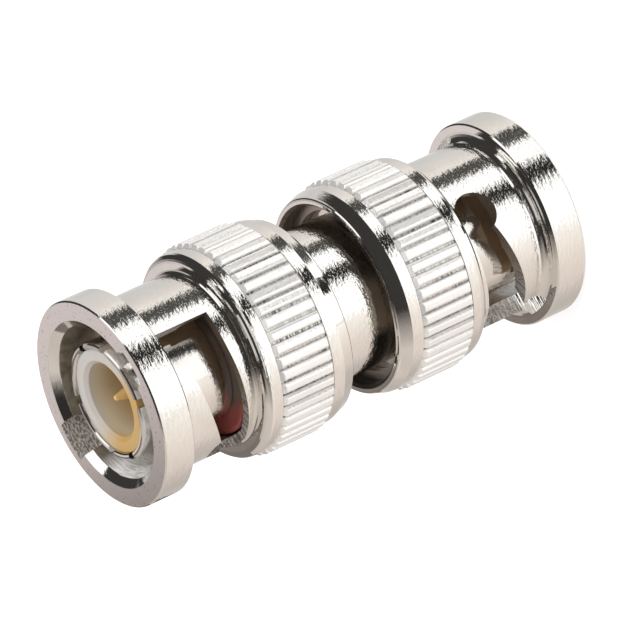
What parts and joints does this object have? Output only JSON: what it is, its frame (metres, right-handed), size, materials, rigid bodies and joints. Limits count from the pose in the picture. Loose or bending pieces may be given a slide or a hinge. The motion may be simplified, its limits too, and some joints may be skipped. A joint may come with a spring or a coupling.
{
  "type": "bnc connector",
  "caption": "Straight coaxial adapter with a bayonet plug on each end: spring-loaded knurled coupling nuts on a short barrel, slotted outer contacts and a gold-plated centre pin.",
  "frame": {"origin": "centre of the lower nut's front face, which the adapter stands on", "axes": "+Z along the axis to the upper nut's face; the upper nut's entry channels stand at -77 and 103 degrees from +X"},
  "size_m": [0.015, 0.015, 0.0345],
  "materials": {
    "nickel_plate": "bright nickel plate on brass",
    "nickel_inner": "nickel plate on brass, duller",
    "spring_steel": "plain spring steel",
    "gold_plate": "gold plate on brass",
    "insulator_plastic": "waxy white",
    "silicone": "matte dark red"
  },
  "bodies": {
    "adapter": {"center_body": "nickel_plate", "contact_shell_top": "nickel_inner", "contact_shell_bottom": "nickel_inner", "insulator_top": "insulator_plastic", "insulator_bottom": "insulator_plastic", "center_pin": "gold_plate", "gasket_top": "silicone", "gasket_bottom": "silicone", "spring_washer_front_top": "spring_steel", "spring_washer_rear_top": "spring_steel", "spring_washer_front_bottom": "spring_steel", "spring_washer_rear_bottom": "spring_steel"},
    "top_washer": {"thrust_washer_top": "nickel_inner"},
    "top_nut": {"coupling_nut_top": "nickel_plate", "retaining_ring_top": "spring_steel"},
    "bottom_washer": {"thrust_washer_bottom": "nickel_inner"},
    "bottom_nut": {"coupling_nut_bottom": "nickel_plate", "retaining_ring_bottom": "spring_steel"}
  },
  "joints": [
    {"name": "top_nut_slide", "type": "slide", "parent": "adapter", "child": "top_washer", "axis": [0, 0, 1], "range_m": [0, 0.0008], "stiffness_N_per_m": 3000, "springref_m": -0.0007, "deforming": ["spring_washer_front_top", "spring_washer_rear_top"]},
    {"name": "top_nut_turn", "type": "hinge", "parent": "top_washer", "child": "top_nut", "pos_m": [0, 0, 0.025], "axis": [0, 0, 1], "continuous": true},
    {"name": "bottom_nut_slide", "type": "slide", "parent": "adapter", "child": "bottom_washer", "axis": [0, 0, -1], "range_m": [0, 0.0008], "stiffness_N_per_m": 3000, "springref_m": -0.0007, "deforming": ["spring_washer_front_bottom", "spring_washer_rear_bottom"]},
    {"name": "bottom_nut_turn", "type": "hinge", "parent": "bottom_washer", "child": "bottom_nut", "pos_m": [0, 0, 0.0095], "axis": [0, 0, -1], "continuous": true}
  ]
}
